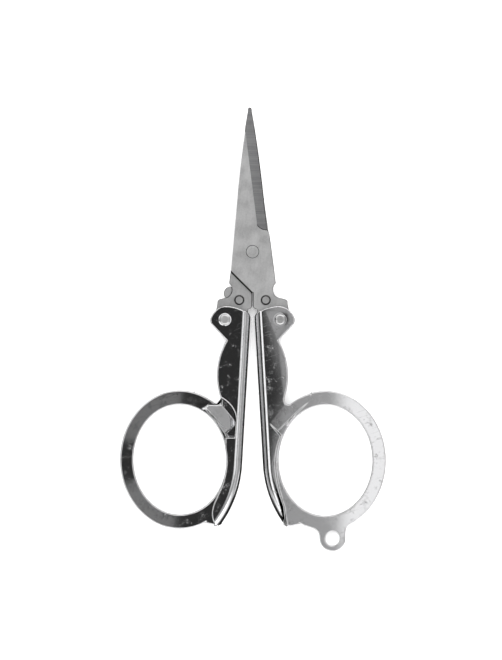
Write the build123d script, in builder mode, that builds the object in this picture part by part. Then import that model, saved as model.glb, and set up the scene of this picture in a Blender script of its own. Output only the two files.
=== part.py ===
"""Folding thread snips: two blades on a pivot rivet, each tang carrying a pressed-sheet channel
handle that folds up over the blades on a rivet of its own.

The snips lie flat and closed with the tips towards +Y and the thickness along Z. The base plane
is the underside of the handles. Outlines are drawn from the pivot, and each piece is drawn for
the front of the snips: the rear blade and the left handle are the same shapes turned half a turn
about the long axis.
"""

import os
from math import cos, radians, sin

from build123d import *

os.makedirs("parts", exist_ok=True)

FRONT = 1
REAR = -1

# Overall layout.
TOTAL_THICKNESS = 4.8
TIP_REACH = 32.5
TAIL_REACH = 67.3
MID_Z = TOTAL_THICKNESS / 2
PIVOT_Y = (TAIL_REACH - TIP_REACH) / 2
HALF = TOTAL_THICKNESS / 2

# Blades.
BLADE_THICKNESS = 0.9
BLADE_FACE_GAP = 0.01
TANG_HALF = BLADE_THICKNESS / 2
JOGGLE_START = 6.75
JOGGLE_END = 7.35
TANG_GAP = 0.08
TANG_FOOT_Y = -12.95
TANG_CORNER_R = 0.9
BEVEL_DROP = 0.7
BEVEL_WIDTH = 2.3
BEVEL_LEAN = 7.12
BEVEL_HOLLOW = 0.06
SPINE_CHAMFER = 0.15

# Rivets, pins and washers.
PIVOT_SHANK_R = 1.2
PIVOT_HEAD_R = 1.5
PIVOT_HEAD_DEPTH = 0.3
RUNNING_GAP = 0.04
PIN_X = 2.98
PIN_Y = -10.87
PIN_R = 1.05
PIN_STANDOUT = 0.42
PIN_ROUND = 0.25
RIVET_X = 6.19
RIVET_Y = -15.25
RIVET_SHANK_R = 1.0
RIVET_HEAD_R = 1.28
DIMPLE_DEPTH = 0.25
DIMPLE_FLOOR_R = 1.4
DIMPLE_RIM_R = 1.85
WASHER_R = 2.2
WASHER_GAP = 0.05
STOP_GAP = 0.05

# Channel handles.
SHEET = 0.6
FOLD_RADIUS = 1.8
WEB_TOP_X = 0.35
WEB_TOP_Y = -13.05
WEB_LEAN = 3.27
WEB_STRAIGHT_END_Y = -48.0
WEB_BEND_RADIUS = 24.9
WEB_BEND_ANGLE = 33.4
RING_X = 16.4
RING_Y = -46.9
RING_HOLE_A = 10.55
RING_HOLE_B = 12.45
RING_OUTER_A = 13.5
RING_OUTER_B = 15.6
RING_INNER_LEVEL = 1.05
RAMP_LENGTH = 3.3
KEY_HOLE_X = 17.95
KEY_HOLE_Y = -64.4
KEY_HOLE_R = 1.58
KEY_TAB_R = TAIL_REACH + KEY_HOLE_Y

RAMP_LEAN = -39.8
STEP_WALL = 0.5

PLATE_INNER = HALF - SHEET
RING_OUTER_LEVEL = RING_INNER_LEVEL + SHEET
RAMP_RISE = PLATE_INNER - RING_INNER_LEVEL

# Points in plan, from the pivot: corners of the sloping panel, of the stretch of ring that carries
# its outer slope on beside the crotch, and of the stretch of channel that has a step wall.
POCKET_CORNERS = [(7.2, -34.4), (3.72, -38.65), (6.6, -41.4), (12, -41.4), (12, -34.4)]
CROTCH_FILL = [
    (7.0, -34.5), (9.9, -34.5), (10.5, -35.5), (10.2, -37.2), (13.2, -37.2), (13.2, -31.0), (7.0, -31.0)
]
STEP_WALL_KEEP = [(3.72, -38.65), (6.6, -41.4), (9.0, -63.0), (6.2, -63.0), (3.3, -50.0)]


def level(side, height):
    """Sketch plane at a height above the mid-plane, measured towards the front or the rear."""
    return Plane(origin=(0, PIVOT_Y, MID_Z + side * height), x_dir=(side, 0, 0), z_dir=(0, 0, side))


def upright(side, origin_x, origin_y, lean):
    """Upright plane through a point: its x runs along the lean angle, its y towards the front."""
    across = (side * cos(radians(lean)), sin(radians(lean)), 0)
    along = (side * sin(radians(lean)), -cos(radians(lean)), 0)
    origin = (side * origin_x, PIVOT_Y + origin_y, MID_Z)
    return Plane(origin=origin, x_dir=across, z_dir=along)


def spindle(side, x, y, profile):
    """Solid of revolution about an upright axis at x, y from (radius, height) points."""
    with BuildPart() as turned:
        with BuildSketch(upright(side, x, y, 0)):
            with BuildLine():
                Polyline(*profile, close=True)
            make_face()
        axis_base = (side * x, PIVOT_Y + y, MID_Z)
        revolve(axis=Axis(axis_base, (0, 0, 1)))
    return turned.part


def web_point(gap, y):
    """Point on the straight of the web's outer face, moved inwards by a gap."""
    lean = radians(WEB_LEAN)
    x = WEB_TOP_X + (WEB_TOP_Y - y) * sin(lean) / cos(lean)
    return (x + gap / cos(lean), y)


def tang_edge():
    """Right-hand edge of a tang, from its shoulder round to the foot of the blade's inner edge."""
    waist = ThreePointArc((5.24, -7.05), (4.6, -8.75), (5.6, -10.25))
    shoulder = Line(waist @ 1, (7.3, -10.68))
    corner = ThreePointArc(shoulder @ 1, (7.72, -10.9), (7.88, -11.5))
    flank = Line(corner @ 1, (8.35, -14.4))
    heel = ThreePointArc(flank @ 1, (4.2, -18.4), web_point(SHEET + STOP_GAP, -14.8))
    stop = Line(heel @ 1, web_point(SHEET + STOP_GAP, TANG_FOOT_Y))
    foot = Line(stop @ 1, (TANG_GAP + TANG_CORNER_R, TANG_FOOT_Y))
    ThreePointArc(
        foot @ 1,
        (TANG_GAP + 0.3 * TANG_CORNER_R, TANG_FOOT_Y + 0.3 * TANG_CORNER_R),
        (TANG_GAP, TANG_FOOT_Y + TANG_CORNER_R),
    )


def bevel(side):
    """Hollow-ground wedge to take off a blade's face along its cutting edge."""
    with BuildPart() as wedge:
        with BuildSketch(level(side, -TANG_HALF)):
            with BuildLine():
                run_out = ThreePointArc((3.75, 5.0), (1.9, 5.22), (1.01, 6.08))
                inner = Line(run_out @ 1, (-2.74, 36))
                Polyline(inner @ 1, (8, 36), (8, 5), run_out @ 0)
            make_face()
        extrude(amount=BLADE_THICKNESS * 2)
        with BuildSketch(upright(side, 1.01, 6.08, BEVEL_LEAN)):
            with BuildLine():
                low = BLADE_THICKNESS - BEVEL_DROP
                middle = BLADE_THICKNESS - BEVEL_DROP / 2 - BEVEL_HOLLOW
                ground = ThreePointArc((0, BLADE_THICKNESS), (BEVEL_WIDTH / 2, middle), (BEVEL_WIDTH, low))
                Polyline(ground @ 1, (2 * BEVEL_WIDTH, low), (2 * BEVEL_WIDTH, 2), (0, 2), ground @ 0)
            make_face()
        extrude(amount=60, both=True, mode=Mode.INTERSECT)
    return wedge.part


def blade(side, name, spine, edge, tip, pivot_gap):
    """Blade and joggled tang. spine is its reach at the root, middle and near the tip, and edge
    that of the cutting edge at the middle and near the tip."""
    wedge = bevel(side)
    pivot_hole = spindle(side, 0, 0, pivot_profile(pivot_gap))
    with BuildPart() as body:
        with BuildSketch(level(side, -TANG_HALF)):
            with BuildLine():
                nose = ThreePointArc((tip + 0.42, 31.9), (tip, TIP_REACH), (tip - 0.42, 31.9))
                back = ThreePointArc(nose @ 1, (-spine[2], 20.7), (-spine[1], 11.3))
                back_foot = Line(back @ 1, (-spine[0], -4.35))
                diagonal = Line(back_foot @ 1, (TANG_GAP, -9.3))
                Line(diagonal @ 1, (TANG_GAP, TANG_FOOT_Y + TANG_CORNER_R))
                tang_edge()
                root = Line((5.24, -7.05), (3.8, 4.0))
                step = Line(root @ 1, (edge[0] + 0.72, 5.05))
                edge_foot = Line(step @ 1, (edge[0], 11.3))
                ThreePointArc(edge_foot @ 1, (edge[1], 20.7), nose @ 0)
            make_face()
        extrude(amount=BLADE_THICKNESS + TANG_HALF)
        with BuildSketch(upright(side, 0, 0, -45)):
            with BuildLine():
                Polyline(
                    (-40, BLADE_FACE_GAP),
                    (JOGGLE_START, BLADE_FACE_GAP),
                    (JOGGLE_END, -TANG_HALF),
                    (30, -TANG_HALF),
                    (30, TANG_HALF),
                    (JOGGLE_END, TANG_HALF),
                    (JOGGLE_START, BLADE_THICKNESS),
                    (-40, BLADE_THICKNESS),
                    close=True,
                )
            make_face()
        extrude(amount=60, both=True, mode=Mode.INTERSECT)
        face_edges = body.edges().filter_by_position(Axis.Z, *face_band(side, BLADE_THICKNESS))
        spine_mid = level(side, BLADE_THICKNESS).from_local_coords(Vector(-spine[2], 20.7))
        spine_low = level(side, BLADE_THICKNESS).from_local_coords(
            Vector(-(spine[0] + spine[1]) / 2, (11.3 - 4.35) / 2)
        )
        spine_edges = [face_edges.sort_by_distance(point)[0] for point in (spine_mid, spine_low)]
        chamfer(spine_edges, SPINE_CHAMFER)
        add(wedge, mode=Mode.SUBTRACT)
        add(pivot_hole, mode=Mode.SUBTRACT)
        with BuildSketch(level(side, -HALF)):
            with Locations((PIN_X, PIN_Y)):
                Circle(PIN_R)
            with Locations((RIVET_X, RIVET_Y)):
                Circle(RIVET_SHANK_R + RUNNING_GAP)
        extrude(amount=TOTAL_THICKNESS, mode=Mode.SUBTRACT)
        if side == REAR:
            with BuildSketch(level(side, TANG_HALF)):
                with BuildLine():
                    ear = ThreePointArc((4.7, -7.9), (6.45, -9.3), (5.3, -10.7))
                    Polyline(ear @ 1, (4.2, -10.2), (4.2, -8.4), ear @ 0)
                make_face()
            extrude(amount=TANG_HALF)
    body.part.label = name
    return body


def pivot_profile(gap):
    """Half section of the pivot rivet as (radius, height) points, larger all round by a gap."""
    shank = PIVOT_SHANK_R + gap
    head = PIVOT_HEAD_R + gap
    neck = BLADE_THICKNESS - PIVOT_HEAD_DEPTH
    return [
        (0, -BLADE_THICKNESS),
        (head, -BLADE_THICKNESS),
        (shank, -neck),
        (shank, neck),
        (head, BLADE_THICKNESS),
        (0, BLADE_THICKNESS),
    ]


def face_band(side, height):
    """Lowest and highest Z of a thin band about a height, for choosing edges."""
    z = MID_Z + side * height
    return (z - 0.01, z + 0.01)


def web_line(gap):
    """Web of a channel handle in plan: a leaning straight and a bend, moved inwards by a gap."""
    top = web_point(gap, WEB_TOP_Y)
    foot = web_point(gap, WEB_STRAIGHT_END_Y)
    straight = Line(top, foot)
    return JernArc(straight @ 1, straight % 1, WEB_BEND_RADIUS - gap, WEB_BEND_ANGLE)


def knob_edge(start):
    """Free edge of a handle's upper plate: from the crotch over the bump, neck and knob."""
    bump = ThreePointArc(start, (7.95, -27.0), (5.81, -19.95))
    neck = Line(bump @ 1, (8.85, -16.75))
    return Spline(
        neck @ 1, (9.5, -15.4), (8.69, -13.67), (7.36, -12.55), (4.39, -12.38), (2.0, -13.25)
    )


def handle_plan(with_tab):
    """Whole outline of a handle seen flat: channel, finger ring and the key tab if it has one."""
    with BuildSketch() as plan:
        with BuildLine():
            bend = web_line(0)
            tip = Line(bend @ 1, (8.5, -61.65))
            Polyline(tip @ 1, (10.6, -61.2), (9.0, -38.0), (7.3, -35.5), (7.09, -33.0))
            knob = knob_edge((7.09, -33.0))
            Line(knob @ 1, (WEB_TOP_X, WEB_TOP_Y))
        make_face()
        with Locations((RING_X, RING_Y)):
            Ellipse(RING_OUTER_A, RING_OUTER_B)
        crotch = plan.vertices().sort_by_distance((7.3, -35.5, 0))[0]
        fillet(crotch, 1.0)
        if with_tab:
            with Locations((KEY_HOLE_X, KEY_HOLE_Y)):
                Circle(KEY_TAB_R)
            with Locations((KEY_HOLE_X, KEY_HOLE_Y + KEY_TAB_R)):
                Rectangle(2 * KEY_TAB_R, 2 * KEY_TAB_R)
            joins = plan.vertices().filter_by_position(Axis.Y, -63.5, -60.0)
            joins = joins.filter_by_position(Axis.X, 14.0, 22.0)
            fillet(joins, 2.0)
            with Locations((KEY_HOLE_X, KEY_HOLE_Y)):
                Circle(KEY_HOLE_R, mode=Mode.SUBTRACT)
        with Locations((RING_X, RING_Y)):
            Ellipse(RING_HOLE_A, RING_HOLE_B, mode=Mode.SUBTRACT)
    return plan.sketch


def ring_zone(shift=0):
    """Everything on the finger ring's side of the line where the ring steps down.

    A shift moves that line towards the web.
    """
    with BuildSketch() as zone:
        with BuildLine():
            top = Line((7.2 - shift, -34.45), (9.9 - shift, -34.45))
            curl = TangentArc(top @ 1, (10.55 - shift, -35.5), tangent=top % 1)
            side = Spline(
                curl @ 1,
                (8.08 - shift, -38.3),
                (6.12 - shift, -42.0),
                (5.2 - shift, -46.9),
                (5.5 - shift, -51.0),
                (7.2 - shift, -57.5),
            )
            Polyline(side @ 1, (7.5 - shift, -62.5), (40, -80), (40, -20), (8.3, -20), (8.3, -33.0), top @ 0)
        make_face()
    return zone.sketch


def short_plate_gap():
    """What is cut off the plate that carries no ring, down to its narrow strip."""
    with BuildSketch() as gap:
        with BuildLine():
            lip = Spline((7.4, -32.6), (5.3, -34.1), (4.1, -35.9), (3.8, -38.5))
            notch = Polyline(lip @ 1, (4.05, -41.7), (6.1, -41.7), (6.4, -49.6))
            strip = Spline(notch @ 1, (8.35, -55.7), (9.1, -58.1), (8.6, -60.9))
            Polyline(strip @ 1, (8.6, -80), (40, -80), (40, -20), (9.0, -32.0), lip @ 0)
        make_face()
    return gap.sketch


def folded_block(side, gap, reach, radius, plan):
    """Plan extruded between the heights -reach and reach, rounded along its web side."""
    with BuildPart() as block:
        with BuildSketch(level(side, -reach)):
            add(plan)
        extrude(amount=2 * reach)
        corners = []
        bend_mid = web_bend_middle(gap)
        for height in (-reach, reach):
            for x, y in (web_point(gap, (WEB_TOP_Y + WEB_STRAIGHT_END_Y) / 2), bend_mid):
                spot = level(side, height).from_local_coords(Vector(x, y))
                corners.append(block.edges().sort_by_distance(spot)[0])
        fillet(corners, radius)
    return block.part


def web_bend_middle(gap):
    """Middle of the web's bend in plan."""
    with BuildLine(mode=Mode.PRIVATE):
        bend = web_line(gap)
        middle = bend @ 0.5
    return (middle.X, middle.Y)


def channel_hollow():
    """Plan of the room between a handle's two plates, open on the side away from the web."""
    with BuildSketch() as hollow:
        with BuildLine():
            bend = web_line(SHEET)
            Polyline(bend @ 1, (9.5, -70), (60, -70), (60, -5), (1, -5), web_point(SHEET, WEB_TOP_Y))
        make_face()
    return hollow.sketch


def ring_sheet(side, plan, zone):
    """Flat finger ring with rounded edges, at the level it steps down to."""
    with BuildPart() as ring:
        with BuildSketch(level(side, RING_INNER_LEVEL)):
            add(plan)
            add(zone, mode=Mode.INTERSECT)
        extrude(amount=SHEET)
    return ring.part


def pocket(side, plan, zone):
    """Sloping panel that carries the front plate down to the level of the ring."""
    with BuildPart() as panel:
        with BuildSketch(level(side, RING_INNER_LEVEL)):
            with BuildLine():
                Polyline(*POCKET_CORNERS, close=True)
            make_face()
            add(plan, mode=Mode.INTERSECT)
            add(zone, mode=Mode.SUBTRACT)
        extrude(amount=2 * SHEET + RAMP_RISE)
        with BuildSketch(upright(side, *POCKET_CORNERS[0], RAMP_LEAN)):
            with BuildLine():
                Polyline(
                    (-1, PLATE_INNER),
                    (0, PLATE_INNER),
                    (RAMP_LENGTH, RING_INNER_LEVEL),
                    (20, RING_INNER_LEVEL),
                    (20, RING_OUTER_LEVEL),
                    (RAMP_LENGTH, RING_OUTER_LEVEL),
                    (0, HALF),
                    (-1, HALF),
                    close=True,
                )
            make_face()
        extrude(amount=40, both=True, mode=Mode.INTERSECT)
    return panel.part


def crotch_fill(side, plan):
    """Skin that carries the panel's outer slope on over the ring, so no step shows at the crotch."""
    end = RAMP_LENGTH + 0.5
    with BuildPart() as skin:
        with BuildSketch(level(side, RING_INNER_LEVEL)):
            with BuildLine():
                Polyline(*CROTCH_FILL, close=True)
            make_face()
            add(plan, mode=Mode.INTERSECT)
        extrude(amount=SHEET + RAMP_RISE)
        with BuildSketch(upright(side, *POCKET_CORNERS[0], RAMP_LEAN)):
            with BuildLine():
                Polyline(
                    (-1, RING_INNER_LEVEL),
                    (end, RING_INNER_LEVEL),
                    (end, RING_OUTER_LEVEL),
                    (RAMP_LENGTH, RING_OUTER_LEVEL),
                    (0, HALF),
                    (-1, HALF),
                    close=True,
                )
            make_face()
        extrude(amount=40, both=True, mode=Mode.INTERSECT)
    return skin.part


def step_wall(plan, zone):
    """Plan of the wall that joins the front plate to the ring where the step is sharp."""
    with BuildSketch() as wall:
        add(ring_zone(STEP_WALL))
        add(zone, mode=Mode.SUBTRACT)
        with BuildSketch(mode=Mode.PRIVATE) as stretch:
            with BuildLine():
                Polyline(*STEP_WALL_KEEP, close=True)
            make_face()
        add(stretch.sketch, mode=Mode.INTERSECT)
        add(plan, mode=Mode.INTERSECT)
    return wall.sketch


def mirrored(profile):
    """The same half section on the other side of the mid-plane."""
    return [(radius, -height) for radius, height in profile]


def stepped_ring(side, plan, zone):
    """Finger ring with the sloping panel and the step wall that join it to the front plate."""
    ring = ring_sheet(side, plan, zone)
    panel = pocket(side, plan, zone)
    with BuildPart() as stepped:
        add(ring)
        with BuildSketch(level(side, RING_INNER_LEVEL)):
            add(step_wall(plan, zone))
        extrude(amount=HALF - RING_INNER_LEVEL)
        add(panel)
    return stepped.part


def channel_handle(side, name, with_tab):
    """Channel of folded sheet whose front plate steps down into the flat finger ring."""
    plan = handle_plan(with_tab)
    zone = ring_zone()
    outer = folded_block(side, 0, HALF, FOLD_RADIUS, plan)
    inner = folded_block(side, SHEET, PLATE_INNER, FOLD_RADIUS - SHEET, channel_hollow())
    ring = stepped_ring(side, plan, zone)
    boss_floor = PLATE_INNER - DIMPLE_DEPTH
    boss = [
        (0, boss_floor),
        (DIMPLE_FLOOR_R, boss_floor),
        (DIMPLE_RIM_R, PLATE_INNER),
        (DIMPLE_RIM_R, PLATE_INNER + SHEET / 2),
        (0, PLATE_INNER + SHEET / 2),
    ]
    dish_floor = HALF - DIMPLE_DEPTH
    dish = [
        (0, dish_floor),
        (DIMPLE_FLOOR_R, dish_floor),
        (DIMPLE_RIM_R, HALF),
        (DIMPLE_RIM_R, HALF + SHEET),
        (0, HALF + SHEET),
    ]
    with BuildPart() as handle:
        add(outer)
        add(inner, mode=Mode.SUBTRACT)
        with BuildSketch(level(side, PLATE_INNER)):
            add(zone)
            with BuildLine():
                Polyline(*POCKET_CORNERS, close=True)
            make_face()
        extrude(amount=SHEET, mode=Mode.SUBTRACT)
        with BuildSketch(level(side, -HALF)):
            add(short_plate_gap())
        extrude(amount=SHEET, mode=Mode.SUBTRACT)
        add(ring)
        add(crotch_fill(side, plan))
        for profile in (boss, mirrored(boss)):
            add(spindle(side, RIVET_X, RIVET_Y, profile))
        for profile in (dish, mirrored(dish)):
            add(spindle(side, RIVET_X, RIVET_Y, profile), mode=Mode.SUBTRACT)
        with BuildSketch(level(side, -HALF)):
            with Locations((RIVET_X, RIVET_Y)):
                Circle(RIVET_SHANK_R)
            with BuildLine():
                nose = ThreePointArc((0.44, -15.0), (0.95, -13.75), (2.1, -13.2))
                Polyline(nose @ 1, (2.1, -12.6), (-0.4, -12.6), (-0.4, -15.0), nose @ 0)
            make_face()
        extrude(amount=TOTAL_THICKNESS, mode=Mode.SUBTRACT)
    handle.part.label = name
    return handle


def handle_rivet(side, name):
    """Rivet through both plates and the tang, with a domed head in each dimple."""
    floor = HALF - DIMPLE_DEPTH
    with BuildPart() as rivet:
        with BuildSketch(upright(side, RIVET_X, RIVET_Y, 0)):
            with BuildLine():
                Polyline((0, -HALF), (0.7, -HALF))
                lower = TangentArc((0.7, -HALF), (RIVET_HEAD_R, -floor), tangent=(1, 0))
                Polyline(lower @ 1, (RIVET_SHANK_R, -floor), (RIVET_SHANK_R, floor), (RIVET_HEAD_R, floor))
                TangentArc((0.7, HALF), (RIVET_HEAD_R, floor), tangent=(1, 0))
                Polyline((0.7, HALF), (0, HALF), (0, -HALF))
            make_face()
        revolve(axis=Axis((side * RIVET_X, PIVOT_Y + RIVET_Y, MID_Z), (0, 0, 1)))
    rivet.part.label = name
    return rivet


def tang_pin(side, name):
    """Short round pin pressed through a tang, standing out a little on both faces."""
    reach = TANG_HALF + PIN_STANDOUT
    with BuildPart() as pin:
        with BuildSketch(level(side, -reach)):
            with Locations((PIN_X, PIN_Y)):
                Circle(PIN_R)
        extrude(amount=2 * reach)
        fillet(pin.edges().filter_by(GeomType.CIRCLE), PIN_ROUND)
    pin.part.label = name
    return pin


def spacer(side, face, name):
    """Washer that fills the room between a tang and one plate. face is FRONT or REAR."""
    low = TANG_HALF + WASHER_GAP
    high = PLATE_INNER - DIMPLE_DEPTH - WASHER_GAP
    with BuildPart() as washer:
        with BuildSketch(level(face, low)):
            with Locations((side * face * RIVET_X, RIVET_Y)):
                Circle(WASHER_R)
                Circle(RIVET_SHANK_R + RUNNING_GAP, mode=Mode.SUBTRACT)
        extrude(amount=high - low)
    washer.part.label = name
    return washer


front_blade = blade(FRONT, "front_blade", (4.97, 3.58, 2.62), (2.54, 1.43), -0.6, RUNNING_GAP)
export_step(front_blade.part, "parts/front_blade.step")

rear_blade = blade(REAR, "rear_blade", (4.85, 2.64, 1.53), (3.3, 2.35), 0.6, 0)
export_step(rear_blade.part, "parts/rear_blade.step")

with BuildPart() as pivot_rivet:
    add(spindle(FRONT, 0, 0, pivot_profile(0)))
pivot_rivet.part.label = "pivot_rivet"
export_step(pivot_rivet.part, "parts/pivot_rivet.step")

for side, hand in ((FRONT, "right"), (REAR, "left")):
    handle = channel_handle(side, hand + "_handle", side == FRONT)
    export_step(handle.part, "parts/" + hand + "_handle.step")
    rivet = handle_rivet(side, hand + "_handle_rivet")
    export_step(rivet.part, "parts/" + hand + "_handle_rivet.step")
    pin = tang_pin(side, hand + "_tang_pin")
    export_step(pin.part, "parts/" + hand + "_tang_pin.step")
    for face, place in ((FRONT, "front"), (REAR, "rear")):
        washer = spacer(side, face, hand + "_" + place + "_washer")
        export_step(washer.part, "parts/" + hand + "_" + place + "_washer.step")
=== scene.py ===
import math

import bmesh
import bpy
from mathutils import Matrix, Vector


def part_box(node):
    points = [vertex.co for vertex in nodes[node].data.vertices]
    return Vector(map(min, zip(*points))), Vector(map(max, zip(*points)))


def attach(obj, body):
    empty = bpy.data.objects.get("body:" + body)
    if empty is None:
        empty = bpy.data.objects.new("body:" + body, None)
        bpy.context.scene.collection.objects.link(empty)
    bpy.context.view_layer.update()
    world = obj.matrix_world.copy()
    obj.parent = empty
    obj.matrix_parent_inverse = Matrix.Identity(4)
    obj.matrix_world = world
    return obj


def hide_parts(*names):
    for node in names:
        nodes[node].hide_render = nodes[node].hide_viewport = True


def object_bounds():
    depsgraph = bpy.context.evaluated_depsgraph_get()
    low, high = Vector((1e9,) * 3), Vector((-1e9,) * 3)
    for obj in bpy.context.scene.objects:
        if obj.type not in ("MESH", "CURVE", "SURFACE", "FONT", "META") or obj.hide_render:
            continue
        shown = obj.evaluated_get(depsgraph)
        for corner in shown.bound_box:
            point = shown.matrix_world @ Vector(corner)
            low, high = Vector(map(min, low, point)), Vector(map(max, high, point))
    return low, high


MM = 0.001

# Welding a CAD mesh back into whole faces
WELD = 0.03 * MM
COPLANAR_DEG = 0.05

# Material slots of a rounded copy; the border of a crisp band stays a sharp line
FLAT = 0
ROUNDED = 1
CRISP = 2
# More slots on a handle, whose crisp band is the outer slope down to its ring
DIMPLE = 3
SLOPE_INSIDE = 4
# The slot where a handle's rounded edge is painted as a highlight
RIM_HIGHLIGHT_SLOT = 5
# More slots on a blade, whose crisp band is ground by the cutting edge
JOGGLE = 3
CHAMFER = 4

# Handle: rounding of the sheet's edges, and where its slope and its dimples are
SHEET_ROUND = 0.2 * MM
SHEET_SEGMENTS = 4
SHEET_SHARP_DEG = 34
# A rounded handle edge is painted as plate up to PLATE_TILT, as a highlight up to the next tilt, and
# as shade beyond
PLATE_TILT = 25
RIM_HIGHLIGHT_TILT = 45.0
SLOPE_TOP_Y = -14 * MM
SLOPE_LEVEL = 1.0 * MM
SLOPE_TILTS = (1.0, 32.0)
SLOPE_SIDEWAYS = 0.02
INSIDE_SIDEWAYS = -0.1
INSIDE_FORWARD = 0.1
DIMPLE_REACH = 2.0 * MM
DIMPLE_TILTS = (0.5, 60.0)
DIMPLE_RING = (1.05 * MM, 1.9 * MM)
DIMPLE_DEPTHS = (0.01 * MM, 0.27 * MM)
DIMPLE_KEPT = 0.15

# Blade: rounding of its edges, and where its bands are
BLADE_ROUND = 0.09 * MM
BLADE_SEGMENTS = 2
BLADE_SHARP_DEG = 60
BAND_TILTS = (9.0, 60.0)
GROUND_TILT = 28.0
JOGGLE_TOP_Y = 14 * MM

# How far the faces of a slot are shaded as if they lay flat
HANDLE_CALM = {CRISP: 1.0, DIMPLE: 0.85, SLOPE_INSIDE: 0.0}
BLADE_CALM = {JOGGLE: 0.9, CHAMFER: 0.75}
# Faces larger than this, in square metres, keep their own normal
BROAD_FACE = 6 * MM * MM
# How much broad faces outweigh narrow ones in a shared normal: 50 is as their areas, 100 entirely
NORMAL_WEIGHT = 50

# Painted shadow lines where the blades meet and one stands over the other, in mm: start, end and
# half width
PAINTED_SHADOW_LINES = [((-4.97, 13.05), (0.0, 8.1), 0.24), ((0.0, 8.3), (0.0, 4.6), 0.34)]

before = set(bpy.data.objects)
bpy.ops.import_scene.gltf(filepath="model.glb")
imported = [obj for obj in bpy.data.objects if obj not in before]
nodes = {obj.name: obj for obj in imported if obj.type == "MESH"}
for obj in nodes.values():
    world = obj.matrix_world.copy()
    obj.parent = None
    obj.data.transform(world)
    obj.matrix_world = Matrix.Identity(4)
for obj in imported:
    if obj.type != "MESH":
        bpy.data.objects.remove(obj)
cad_low, cad_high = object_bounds()


# ---------------------------------------------------------------- geometry

def centre_of(node):
    low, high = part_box(node)
    return (low + high) / 2


def tilt(face):
    """How far a face leans from lying flat, in degrees."""
    return math.degrees(math.acos(min(1.0, abs(face.normal.z))))


def softened(node, name, body, rounding, segments, sharp_deg, mark, calm, rim=None, shape=None):
    """A copy of a CAD node with its sharp edges rounded over, riding on a body in its place.

    mark(face) gives a face's slot, and rim(face) that of a rounded face, which is else ROUNDED.
    shape(bm) may move vertices before the rounding. calm is as for settle_normals.
    """
    mesh = nodes[node].data.copy()
    mesh.name = name
    bm = bmesh.new()
    bm.from_mesh(mesh)
    bmesh.ops.remove_doubles(bm, verts=bm.verts, dist=WELD)
    flat = [e for e in bm.edges
            if len(e.link_faces) == 2 and e.calc_face_angle(0) < math.radians(COPLANAR_DEG)]
    bmesh.ops.dissolve_edges(bm, edges=flat, use_verts=False, use_face_split=False)
    if shape:
        shape(bm)
    for face in bm.faces:
        face.material_index = mark(face)
    sharp = [e for e in bm.edges
             if len(e.link_faces) == 2 and e.calc_face_angle(0) > math.radians(sharp_deg)]
    bmesh.ops.bevel(
        bm, geom=sharp, offset=rounding, offset_type="OFFSET", segments=segments,
        profile=0.5, affect="EDGES", clamp_overlap=False, material=ROUNDED)
    # The rounding overshoots at a few tight corners. Only its height is held to the node's box, so
    # thin spikes stay there, sideways off the solid
    low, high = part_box(node)
    for vert in bm.verts:
        vert.co.z = min(max(vert.co.z, low.z), high.z)
    for face in bm.faces:
        face.smooth = True
        if rim and face.material_index == ROUNDED:
            face.material_index = rim(face)
    for edge in bm.edges:
        looks = {face.material_index for face in edge.link_faces}
        edge.smooth = CRISP not in looks or len(looks) == 1
    bm.to_mesh(mesh)
    bm.free()
    if "custom_normal" in mesh.attributes:
        mesh.attributes.remove(mesh.attributes["custom_normal"])
    piece = bpy.data.objects.new(name, mesh)
    bpy.context.scene.collection.objects.link(piece)
    even = piece.modifiers.new("even_normals", "WEIGHTED_NORMAL")
    even.mode = "FACE_AREA"
    even.weight = NORMAL_WEIGHT
    even.keep_sharp = True
    settle_normals(piece, calm)
    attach(piece, body)
    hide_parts(node)
    return piece


def settle_normals(piece, calm):
    """Stores the evened normals in the mesh; calm says how far a slot's normals turn upright."""
    bpy.context.view_layer.update()
    evened = piece.evaluated_get(bpy.context.evaluated_depsgraph_get()).data
    normals = [corner.vector.copy() for corner in evened.corner_normals]
    piece.modifiers.clear()
    for face in piece.data.polygons:
        if face.material_index in calm:
            upright = Vector((0, 0, math.copysign(1, face.normal.z)))
            for loop in face.loop_indices:
                normals[loop] = face.normal.lerp(upright, calm[face.material_index]).normalized()
        elif face.area > BROAD_FACE:
            for loop in face.loop_indices:
                normals[loop] = face.normal.copy()
    piece.data.normals_split_custom_set(normals)


def handle_look(hand):
    """Finds a handle's slope to its ring, that slope's inside, and the dimples round its rivet."""
    side = 1 if hand == "right" else -1
    rivet = centre_of(f"{hand}_handle_rivet").xy

    def look(face):
        middle = face.calc_center_median()
        pressed = DIMPLE_TILTS[0] < tilt(face) < DIMPLE_TILTS[1]
        if pressed and (middle.xy - rivet).length < DIMPLE_REACH:
            return DIMPLE
        over = (middle.z - cad_high.z / 2) * side > SLOPE_LEVEL
        sloped = SLOPE_TILTS[0] < tilt(face) < SLOPE_TILTS[1]
        if middle.y > SLOPE_TOP_Y or not over or not sloped:
            return FLAT
        sideways = face.normal.x * side
        if face.normal.z * side > 0:
            return CRISP if sideways > SLOPE_SIDEWAYS else FLAT
        inside = sideways < INSIDE_SIDEWAYS and face.normal.y > INSIDE_FORWARD
        return SLOPE_INSIDE if inside else FLAT

    return look


def handle_rim(face):
    """A handle's rounded edge shows as plate where it is nearly flat, then with a painted highlight,
    then with painted shade.
    """
    if tilt(face) < PLATE_TILT:
        return FLAT
    return RIM_HIGHLIGHT_SLOT if tilt(face) < RIM_HIGHLIGHT_TILT else ROUNDED


def shallow_dimples(hand):
    """Makes the pressed hollows round a handle's rivet heads as gentle as they look."""
    rivet = centre_of(f"{hand}_handle_rivet").xy

    def press(bm):
        for vert in bm.verts:
            if not DIMPLE_RING[0] < (vert.co.xy - rivet).length < DIMPLE_RING[1]:
                continue
            for outer in (cad_low.z, cad_high.z):
                depth = vert.co.z - outer
                if DIMPLE_DEPTHS[0] < abs(depth) < DIMPLE_DEPTHS[1]:
                    vert.co.z = outer + DIMPLE_KEPT * depth

    return press


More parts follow.
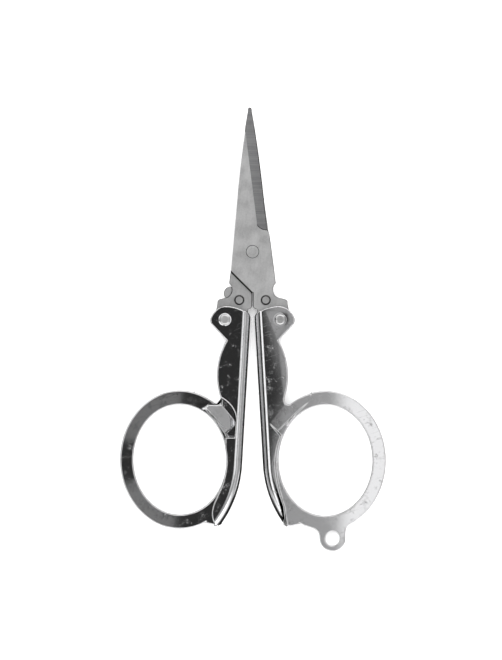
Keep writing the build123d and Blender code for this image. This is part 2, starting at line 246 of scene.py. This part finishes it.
def blade_look(face):
    """Finds a blade's ground band, its chamfered back, and the joggle of its tang."""
    if tilt(face) < BAND_TILTS[0] or tilt(face) > BAND_TILTS[1]:
        return FLAT
    if face.calc_center_median().y < JOGGLE_TOP_Y:
        return JOGGLE
    return CRISP if tilt(face) < GROUND_TILT else CHAMFER


# ---------------------------------------------------------------- materials

class Paint:
    """A node material: its principled shader and short ways to add texture nodes."""

    def __init__(self, name, colour, roughness, metallic=1.0):
        self.material = bpy.data.materials.new(name)
        self.material.use_nodes = True
        self.tree = self.material.node_tree
        self.shader = self.tree.nodes["Principled BSDF"]
        self.shader.inputs["Base Color"].default_value = (*colour, 1)
        self.shader.inputs["Roughness"].default_value = roughness
        self.shader.inputs["Metallic"].default_value = metallic
        self.place = self.tree.nodes.new("ShaderNodeTexCoord").outputs["Object"]
        self.normal = None

    def rounded(self, radius):
        """Softens the look of every edge over a radius."""
        node = self.tree.nodes.new("ShaderNodeBevel")
        node.samples = 6
        node.inputs["Radius"].default_value = radius
        self.normal = node.outputs["Normal"]
        self.link(self.normal, self.shader.inputs["Normal"])

    def edges(self, radius):
        """1 along sharp edges, falling off to 0 at about a radius from them."""
        node = self.tree.nodes.new("ShaderNodeBevel")
        node.samples = 8
        node.inputs["Radius"].default_value = radius
        flat = self.tree.nodes.new("ShaderNodeNewGeometry")
        agree = self.tree.nodes.new("ShaderNodeVectorMath")
        agree.operation = "DOT_PRODUCT"
        self.link(node.outputs["Normal"], agree.inputs[0])
        self.link(flat.outputs["Normal"], agree.inputs[1])
        return self.spread(agree.outputs["Value"], 0.86, 0.985, 1, 0)

    def link(self, source, target):
        self.tree.links.new(source, target)

    def turned(self, angles, scale):
        """Object coordinates, turned and then stretched."""
        spin = self.tree.nodes.new("ShaderNodeMapping")
        spin.inputs["Rotation"].default_value = [math.radians(a) for a in angles]
        self.link(self.place, spin.inputs["Vector"])
        stretch = self.tree.nodes.new("ShaderNodeMapping")
        stretch.inputs["Scale"].default_value = scale
        self.link(spin.outputs["Vector"], stretch.inputs["Vector"])
        return stretch.outputs["Vector"]

    def noise(self, scale, detail=2.0, rough=0.5, vector=None):
        node = self.tree.nodes.new("ShaderNodeTexNoise")
        node.inputs["Scale"].default_value = scale
        node.inputs["Detail"].default_value = detail
        node.inputs["Roughness"].default_value = rough
        self.link(vector if vector is not None else self.place, node.inputs["Vector"])
        return node.outputs["Fac"]

    def spread(self, value, low, high, to_low, to_high):
        """A value moved from one range to another, held at its ends."""
        node = self.tree.nodes.new("ShaderNodeMapRange")
        node.interpolation_type = "SMOOTHSTEP"
        node.inputs["From Min"].default_value = low
        node.inputs["From Max"].default_value = high
        node.inputs["To Min"].default_value = to_low
        node.inputs["To Max"].default_value = to_high
        self.link(value, node.inputs["Value"])
        return node.outputs["Result"]

    def maths(self, kind, one, two=0):
        node = self.tree.nodes.new("ShaderNodeMath")
        node.operation = kind
        for k, value in enumerate((one, two)):
            if isinstance(value, (int, float)):
                node.inputs[k].default_value = value
            else:
                self.link(value, node.inputs[k])
        return node.outputs[0]

    def weighed(self, one, one_share, two, two_share):
        """Two values, each times its share, added up."""
        return self.maths(
            "ADD", self.maths("MULTIPLY", one, one_share), self.maths("MULTIPLY", two, two_share))

    def mix(self, factor, one, two):
        node = self.tree.nodes.new("ShaderNodeMix")
        node.data_type = "RGBA"
        self.link(factor, node.inputs["Factor"])
        for key, value in (("A", one), ("B", two)):
            socket = [s for s in node.inputs if s.name == key and s.type == "RGBA"][0]
            if isinstance(value, tuple):
                socket.default_value = (*value, 1)
            else:
                self.link(value, socket)
        return [s for s in node.outputs if s.type == "RGBA"][0]

    def ring(self, centre, inner, outer):
        """1 between two radii about an upright axis, falling off softly to 0 at both."""
        away = self.tree.nodes.new("ShaderNodeVectorMath")
        away.operation = "SUBTRACT"
        away.inputs[1].default_value = (centre[0], centre[1], 0)
        flat = self.tree.nodes.new("ShaderNodeVectorMath")
        flat.operation = "MULTIPLY"
        flat.inputs[1].default_value = (1, 1, 0)
        reach = self.tree.nodes.new("ShaderNodeVectorMath")
        reach.operation = "LENGTH"
        self.link(self.place, away.inputs[0])
        self.link(away.outputs[0], flat.inputs[0])
        self.link(flat.outputs[0], reach.inputs[0])
        soft = (outer - inner) * 0.35
        rise = self.spread(reach.outputs["Value"], inner, inner + soft, 0, 1)
        fall = self.spread(reach.outputs["Value"], outer - soft, outer, 1, 0)
        return self.maths("MULTIPLY", rise, fall)

    def line(self, start, end, half_width):
        """1 along a straight in plan, falling off softly to 0 at half_width, all in mm."""
        a, b = Vector((*start, 0)) * MM, Vector((*end, 0)) * MM
        along = (b - a).normalized()
        split = self.tree.nodes.new("ShaderNodeSeparateXYZ")
        self.link(self.place, split.inputs[0])
        x = self.maths("SUBTRACT", split.outputs["X"], a.x)
        y = self.maths("SUBTRACT", split.outputs["Y"], a.y)
        run = self.weighed(x, along.x, y, along.y)
        off = self.maths("ABSOLUTE", self.weighed(x, -along.y, y, along.x))
        length = (b - a).length
        before, after = 0.1 * MM, 0.05 * MM
        near = self.spread(off, half_width * 0.45 * MM, half_width * MM, 1, 0)
        begun = self.spread(run, -before, after, 0, 1)
        ended = self.spread(run, length - after, length + before, 1, 0)
        return self.maths("MULTIPLY", near, self.maths("MULTIPLY", begun, ended))

    def bump(self, height, depth):
        node = self.tree.nodes.new("ShaderNodeBump")
        node.inputs["Strength"].default_value = 1.0
        node.inputs["Distance"].default_value = depth
        self.link(height, node.inputs["Height"])
        if self.normal is not None:
            self.link(self.normal, node.inputs["Normal"])
        self.normal = node.outputs["Normal"]
        self.link(self.normal, self.shader.inputs["Normal"])

    def colour(self, value):
        self.link(value, self.shader.inputs["Base Color"])

    def rough(self, value):
        self.link(value, self.shader.inputs["Roughness"])


def chrome_paint():
    """Bright plating over stamped sheet: slight waves, pinhole specks and fine scratches."""
    paint = Paint("handle_chrome_finish", (0.82, 0.82, 0.83), 0.07)
    paint.rounded(0.3 * MM)
    waves = paint.noise(150, detail=0.0)
    peel = paint.noise(1300, detail=2.0)
    specks = paint.spread(paint.noise(5200, detail=1.0), 0.66, 0.74, 0, 1)
    blotches = paint.spread(paint.noise(420, detail=3.0, rough=0.7), 0.50, 0.68, 0, 1)
    pits = paint.spread(paint.noise(2600, detail=2.0), 0.56, 0.66, 0, 1)
    specks = paint.maths("MULTIPLY", paint.maths("MAXIMUM", specks, pits), blotches)
    fine = paint.noise(1.0, detail=1.0, vector=paint.turned((0, 0, 38), (500, 15000, 500)))
    long = paint.noise(1.0, detail=0.0, vector=paint.turned((0, 0, -20), (160, 9000, 160)))
    scratches = paint.maths(
        "MAXIMUM", paint.spread(fine, 0.74, 0.79, 0, 1), paint.spread(long, 0.78, 0.82, 0, 1))
    marks = paint.maths("MAXIMUM", specks, paint.maths("MULTIPLY", scratches, 0.35))
    haze = paint.mix(blotches, (0.84, 0.84, 0.85), (0.77, 0.77, 0.78))
    paint.colour(paint.mix(marks, haze, (0.55, 0.55, 0.55)))
    base = paint.spread(blotches, 0, 1, 0.04, 0.10)
    paint.rough(paint.maths("ADD", base, paint.maths("MULTIPLY", marks, 0.2)))
    paint.bump(waves, 0.005 * MM)
    paint.bump(peel, 0.0004 * MM)
    paint.bump(marks, -0.002 * MM)
    return paint.material


def steel_paint(name, level, roughness, grain=0.07, outline_shade=0):
    """Satin stainless: fine mottled grain over soft cloudiness, with painted shade darkening it
    along its edges.
    """
    paint = Paint(name, (level, level, level), roughness)
    cloud = paint.noise(330, detail=2.0)
    fine = paint.noise(2600, detail=3.0, rough=0.65)
    drawn = paint.noise(1.0, detail=2.0, vector=paint.turned((0, 0, 8), (2200, 420, 900)))
    both = paint.weighed(fine, 0.6, drawn, 0.4)
    dark = (level * (1 - grain),) * 3
    light = (level * (1 + grain),) * 3
    tone = paint.mix(paint.spread(both, 0.36, 0.64, 0, 1), dark, light)
    shaded_cloud_tone = paint.mix(paint.spread(cloud, 0.35, 0.7, 0, 0.35), tone, (level * 1.12,) * 3)
    if outline_shade:
        # Painted shade: sharp edges darkened towards near black for a dark outline
        outline_mask = paint.maths("MULTIPLY", paint.edges(0.3 * MM), outline_shade)
        shaded_cloud_tone = paint.mix(outline_mask, shaded_cloud_tone, (0.06, 0.06, 0.06))
    paint.colour(shaded_cloud_tone)
    paint.rough(paint.spread(cloud, 0.3, 0.7, roughness - 0.03, roughness + 0.05))
    paint.bump(both, 0.0016 * MM)
    return paint


def ground_paint():
    """The ground band: fine lines straight across the blade, on steel painted far darker than the
    faces as painted shade.
    """
    paint = Paint("ground_band_painted_shade", (0.27, 0.27, 0.27), 0.32)
    lines = paint.noise(1.0, detail=3.0, rough=0.7, vector=paint.turned((0, 0, 0), (90, 3800, 90)))
    coarse = paint.noise(1.0, detail=1.0, vector=paint.turned((0, 0, 0), (40, 900, 40)))
    both = paint.weighed(lines, 0.7, coarse, 0.3)
    tone = paint.spread(both, 0.36, 0.64, 0, 1)
    paint.colour(paint.mix(tone, (0.26, 0.26, 0.265), (0.33, 0.33, 0.335)))
    paint.rough(paint.spread(lines, 0.3, 0.7, 0.28, 0.38))
    paint.bump(lines, 0.002 * MM)
    return paint.material


def blade_edge_shade_paint():
    """Blade edges painted far darker than the faces: painted shade for their dark outline."""
    paint = Paint("blade_edge_painted_shade", (0.13, 0.13, 0.13), 0.3)
    fine = paint.noise(3000, detail=2.0)
    tone = paint.spread(fine, 0.35, 0.65, 0, 1)
    paint.colour(paint.mix(tone, (0.03, 0.03, 0.03), (0.06, 0.06, 0.06)))
    paint.rough(paint.spread(fine, 0.3, 0.7, 0.25, 0.4))
    paint.bump(fine, 0.002 * MM)
    return paint.material


def add_painted_shadow_lines(paint, lines):
    """Adds painted shadow lines, each (start, end, half width) in mm, to a steel."""
    previous = paint.shader.inputs["Base Color"].links[0].from_socket
    for start, end, half_width in lines:
        previous = paint.mix(paint.line(start, end, half_width), previous, (0.015, 0.015, 0.015))
    paint.colour(previous)
    return paint.material


def headed_paint(name, level, roughness, centre, rings):
    """Turned or pressed steel with dark circles painted on, each (inner mm, outer mm, how dark),
    mostly painted shade round heads and pins.
    """
    paint = steel_paint(name, level, roughness)
    previous = paint.shader.inputs["Base Color"].links[0].from_socket
    for inner, outer, dark in rings:
        shade = paint.maths("MULTIPLY", paint.ring(centre, inner * MM, outer * MM), dark)
        previous = paint.mix(shade, previous, (0.02, 0.02, 0.02))
    paint.colour(previous)
    return paint.material


def dress(piece, *materials):
    """Gives a piece its materials, keeping which face has which."""
    looks = [face.material_index for face in piece.data.polygons]
    piece.data.materials.clear()
    for material in materials:
        piece.data.materials.append(material)
    piece.data.polygons.foreach_set("material_index", looks)


# ---------------------------------------------------------------- pieces

def handles():
    chrome = chrome_paint()
    # Painted shade on the steepest rounded sheet edges, and a painted highlight on those that lean
    # less
    painted_shade_rim = steel_paint("rim_with_painted_shade", 0.03, 0.3, grain=0.2).material
    painted_highlight_rim = steel_paint("rim_with_painted_highlight", 0.97, 0.5, grain=0.05).material
    for hand in ("right", "left"):
        shell = softened(
            f"{hand}_handle", f"{hand}_handle_shell", f"{hand}_handle", SHEET_ROUND, SHEET_SEGMENTS,
            SHEET_SHARP_DEG, handle_look(hand), HANDLE_CALM, handle_rim, shallow_dimples(hand))
        dress(shell, chrome, painted_shade_rim, chrome, chrome, chrome, painted_highlight_rim)


def blades():
    steels = {
        # The rear blade's steel is painted darker than the front's, as painted shade, and both get
        # painted shade along their edges
        "front_blade": steel_paint("blade_steel_finish", 0.62, 0.36, outline_shade=0.85),
        "rear_blade": steel_paint("rear_blade_finish", 0.54, 0.36, outline_shade=0.85),
    }
    # The chamfered back is a much brighter copy of the steel: a painted highlight
    spine_highlight = steel_paint("spine_painted_highlight", 0.9, 0.3).material
    ground = ground_paint()
    # The rounded blade edges are painted near black: painted shade
    edge = blade_edge_shade_paint()
    for node, paint in steels.items():
        steel = add_painted_shadow_lines(paint, PAINTED_SHADOW_LINES)
        blank = softened(
            node, f"{node}_body", node, BLADE_ROUND, BLADE_SEGMENTS, BLADE_SHARP_DEG,
            blade_look, BLADE_CALM)
        dress(blank, steel, edge, ground, steel, spine_highlight)


def rivets_and_washers():
    """The small steel keeps its CAD meshes and only gets its finishes."""
    for name, node in nodes.items():
        finish = f"{name}_finish"
        # The dark circles are painted shade round the pivot head's rim, the tang pins and the handle
        # rivet heads; the pivot also gets a faint dark circle further in
        if name == "pivot_rivet":
            circles = [(1.32, 1.56, 0.95), (0.62, 0.86, 0.12)]
            look = headed_paint(finish, 0.7, 0.34, centre_of(name), circles)
        elif name.endswith("tang_pin"):
            look = headed_paint(finish, 0.6, 0.3, centre_of(name), [(0.74, 1.1, 0.97)])
        elif name.endswith("handle_rivet"):
            look = headed_paint(finish, 0.6, 0.3, centre_of(name), [(1.05, 1.4, 0.6)])
        elif name.endswith("washer"):
            look = steel_paint(finish, 0.5, 0.4).material
        else:
            continue
        for slot in node.material_slots:
            slot.material = look


handles()
blades()
rivets_and_washers()


# ---------------------------------------------------------------- studio

def flat_sheet(name, half_x, half_y, centre):
    bm = bmesh.new()
    bmesh.ops.create_grid(bm, x_segments=4, y_segments=4, size=1.0)
    for vert in bm.verts:
        vert.co.x = vert.co.x * half_x + centre[0]
        vert.co.y = vert.co.y * half_y + centre[1]
        vert.co.z = centre[2]
    mesh = bpy.data.meshes.new(name)
    bm.to_mesh(mesh)
    bm.free()
    sheet = bpy.data.objects.new(name, mesh)
    bpy.context.scene.collection.objects.link(sheet)
    return sheet


def floor():
    plane = flat_sheet("floor", 1.5, 1.5, (0, 0, -0.02 * MM))
    paint = Paint("pale_floor", (0.93, 0.93, 0.93), 0.9, metallic=0.0)
    paint.colour(paint.mix(paint.noise(40, detail=2.0), (0.925, 0.925, 0.925), (0.94, 0.94, 0.94)))
    paint.shader.inputs["Emission Color"].default_value = (1, 1, 1, 1)
    paint.shader.inputs["Emission Strength"].default_value = 0.2
    dress(plane, paint.material)
    plane.visible_glossy = False


def set_stops(ramp, stops):
    """Gives a colour ramp its greys, each (place from 0 to 1, value)."""
    while len(ramp.color_ramp.elements) < len(stops):
        ramp.color_ramp.elements.new(0.5)
    for element, (at, value) in zip(ramp.color_ramp.elements, stops):
        element.position = at
        element.color = (value, value, value, 1)


# The overhead diffuser, in metres. FIELD and STRIP give its brightness as (place across, value):
# FIELD all over, on lines that lean away from y = BEND by SLANT, and STRIP only between the ys of
# STRIP_FADES, each (none yet, full). The ends are brightest, except on the left.
DIFFUSER_HEIGHT = 0.7
DIFFUSER_HALF = 0.6
FIELD = [(-0.60, 0.04), (-0.50, 0.04), (-0.45, 1.2), (-0.115, 1.2), (-0.095, 0.03), (0.016, 0.03),
         (0.023, 0.34), (0.06, 0.38), (0.60, 0.38)]
SLANT = 0.21
BEND = -0.036
STRIP = [(0.043, 0.0), (0.058, 0.98), (0.33, 0.98), (0.38, 0.0)]
STRIP_FADES = ((-0.16, -0.12), (0.08, 0.03))
END_GLOW = 1.8
END_FADE = (0.28, 0.34)
END_LEFT_FADE = (-0.2, -0.1)


def diffuser():
    """The overhead sheet with bright and dark fields, which the plating mirrors."""
    sheet = flat_sheet("scrim", DIFFUSER_HALF, DIFFUSER_HALF, (0, 0, DIFFUSER_HEIGHT))
    sheet.visible_camera = False
    paint = Paint("scrim_glow", (0, 0, 0), 1.0)
    split = paint.tree.nodes.new("ShaderNodeSeparateXYZ")
    paint.link(paint.place, split.inputs[0])
    x, y = split.outputs["X"], split.outputs["Y"]
    off = paint.maths("ABSOLUTE", paint.maths("ADD", y, -BEND))
    across = paint.maths("ADD", x, paint.maths("MULTIPLY", off, SLANT))

    def graded(stops, along):
        share = paint.tree.nodes.new("ShaderNodeMapRange")
        share.inputs["From Min"].default_value = -DIFFUSER_HALF
        share.inputs["From Max"].default_value = DIFFUSER_HALF
        paint.link(along, share.inputs["Value"])
        ramp = paint.tree.nodes.new("ShaderNodeValToRGB")
        set_stops(ramp, [((at + DIFFUSER_HALF) / (2 * DIFFUSER_HALF), value) for at, value in stops])
        paint.link(share.outputs["Result"], ramp.inputs["Fac"])
        return ramp.outputs["Color"]

    (low_none, low_full), (high_none, high_full) = STRIP_FADES
    inside = paint.maths(
        "MULTIPLY",
        paint.spread(y, low_none, low_full, 0, 1), paint.spread(y, high_full, high_none, 1, 0))
    strip = paint.maths("MULTIPLY", graded(STRIP, x), inside)
    both = paint.maths("MAXIMUM", graded(FIELD, across), strip)
    ends = paint.maths(
        "MULTIPLY",
        paint.spread(paint.maths("ABSOLUTE", y), *END_FADE, 0, 1),
        paint.spread(x, *END_LEFT_FADE, 0, 1))
    glow = paint.tree.nodes.new("ShaderNodeEmission")
    paint.link(paint.mix(ends, both, (END_GLOW,) * 3), glow.inputs["Color"])
    shine(paint, glow)
    dress(sheet, paint.material)


def shine(paint, glow):
    """Makes a paint give off light in place of its shader."""
    out = [n for n in paint.tree.nodes if n.type == "OUTPUT_MATERIAL"][0]
    paint.link(glow.outputs[0], out.inputs["Surface"])


# Two cards just under the diffuser: x from and to, y from and to, and brightness
CARD_HEIGHT = 0.69
CARDS = {
    "low_left_card": (-0.12, -0.045, -0.20, -0.088, 0.2),
    "top_left_card": (-0.075, -0.04, -0.062, -0.03, 0.18),
}


def card(name, x0, x1, y0, y1, value):
    """A small reflector that only shows in polished metal."""
    centre = ((x0 + x1) / 2, (y0 + y1) / 2, CARD_HEIGHT)
    sheet = flat_sheet(name, (x1 - x0) / 2, (y1 - y0) / 2, centre)
    sheet.visible_camera = False
    sheet.visible_diffuse = False
    paint = Paint(f"{name}_glow", (0, 0, 0), 1.0)
    glow = paint.tree.nodes.new("ShaderNodeEmission")
    glow.inputs["Color"].default_value = (value, value, value, 1)
    shine(paint, glow)
    dress(sheet, paint.material)


def fill_light(height, side, power):
    """A wide soft light straight overhead that the metal doesn't mirror."""
    light = bpy.data.lights.new("fill", "AREA")
    light.shape = "RECTANGLE"
    light.size = side
    light.size_y = side
    light.energy = power
    body = bpy.data.objects.new("fill", light)
    body.location = (0, 0, height)
    body.visible_glossy = False
    bpy.context.scene.collection.objects.link(body)


# Brightness of the studio's walls, as (height, value), with 0 straight down and 1 straight up,
# and the spans of direction over which one wall gives way to the next
LEFT_WALL = [(0.27, 0.02), (0.31, 0.36), (0.72, 0.36), (0.76, 0.04)]
RIGHT_WALL = [(0.50, 0.02), (0.54, 0.36), (0.78, 0.36), (0.85, 0.8)]
END_WALLS = [(0.45, 0.02), (0.55, 0.36), (0.70, 1.2), (0.80, 1.8)]
LEFT_TO_RIGHT = (-0.45, -0.2)
SIDES_TO_ENDS = (0.3, 0.5)


def tent():
    """Studio walls: brightest to front and back, dark below, and dim on the left."""
    world = bpy.data.worlds.new("studio")
    world.use_nodes = True
    tree = world.node_tree
    where = tree.nodes.new("ShaderNodeTexCoord")
    split = tree.nodes.new("ShaderNodeSeparateXYZ")
    tree.links.new(where.outputs["Generated"], split.inputs[0])

    def span(value, low, high):
        share = tree.nodes.new("ShaderNodeMapRange")
        share.inputs["From Min"].default_value = low
        share.inputs["From Max"].default_value = high
        tree.links.new(value, share.inputs["Value"])
        return share.outputs["Result"]

    def wall(stops):
        ramp = tree.nodes.new("ShaderNodeValToRGB")
        set_stops(ramp, stops)
        tree.links.new(span(split.outputs["Z"], -1, 1), ramp.inputs["Fac"])
        return ramp.outputs["Color"]

    def blend(share, one, two):
        mix = tree.nodes.new("ShaderNodeMix")
        mix.data_type = "RGBA"
        tree.links.new(share, mix.inputs["Factor"])
        colours = [socket for socket in mix.inputs if socket.type == "RGBA"]
        for side, socket in zip((one, two), colours):
            tree.links.new(side, socket)
        return [socket for socket in mix.outputs if socket.type == "RGBA"][0]

    away = tree.nodes.new("ShaderNodeMath")
    away.operation = "ABSOLUTE"
    tree.links.new(split.outputs["Y"], away.inputs[0])
    sides = blend(span(split.outputs["X"], *LEFT_TO_RIGHT), wall(LEFT_WALL), wall(RIGHT_WALL))
    both = blend(span(away.outputs[0], *SIDES_TO_ENDS), sides, wall(END_WALLS))
    tree.links.new(both, tree.nodes["Background"].inputs["Color"])
    tree.nodes["Background"].inputs["Strength"].default_value = 1.0
    return world


def overhead_camera():
    camera = bpy.data.objects.new("camera", bpy.data.cameras.new("camera"))
    camera.data.lens = 100.0
    camera.data.sensor_width = 36.0
    camera.data.clip_start = 0.01
    camera.data.clip_end = 10.0
    camera.location = (-0.34 * MM, -0.2 * MM, 415.2 * MM)
    bpy.context.scene.collection.objects.link(camera)
    return camera


floor()
diffuser()
for name, (*span, value) in CARDS.items():
    card(name, *span, value)
fill_light(0.66, 1.1, 9.0)
bpy.context.scene.world = tent()
bpy.context.scene.view_settings.view_transform = "Standard"
bpy.context.scene.camera = overhead_camera()
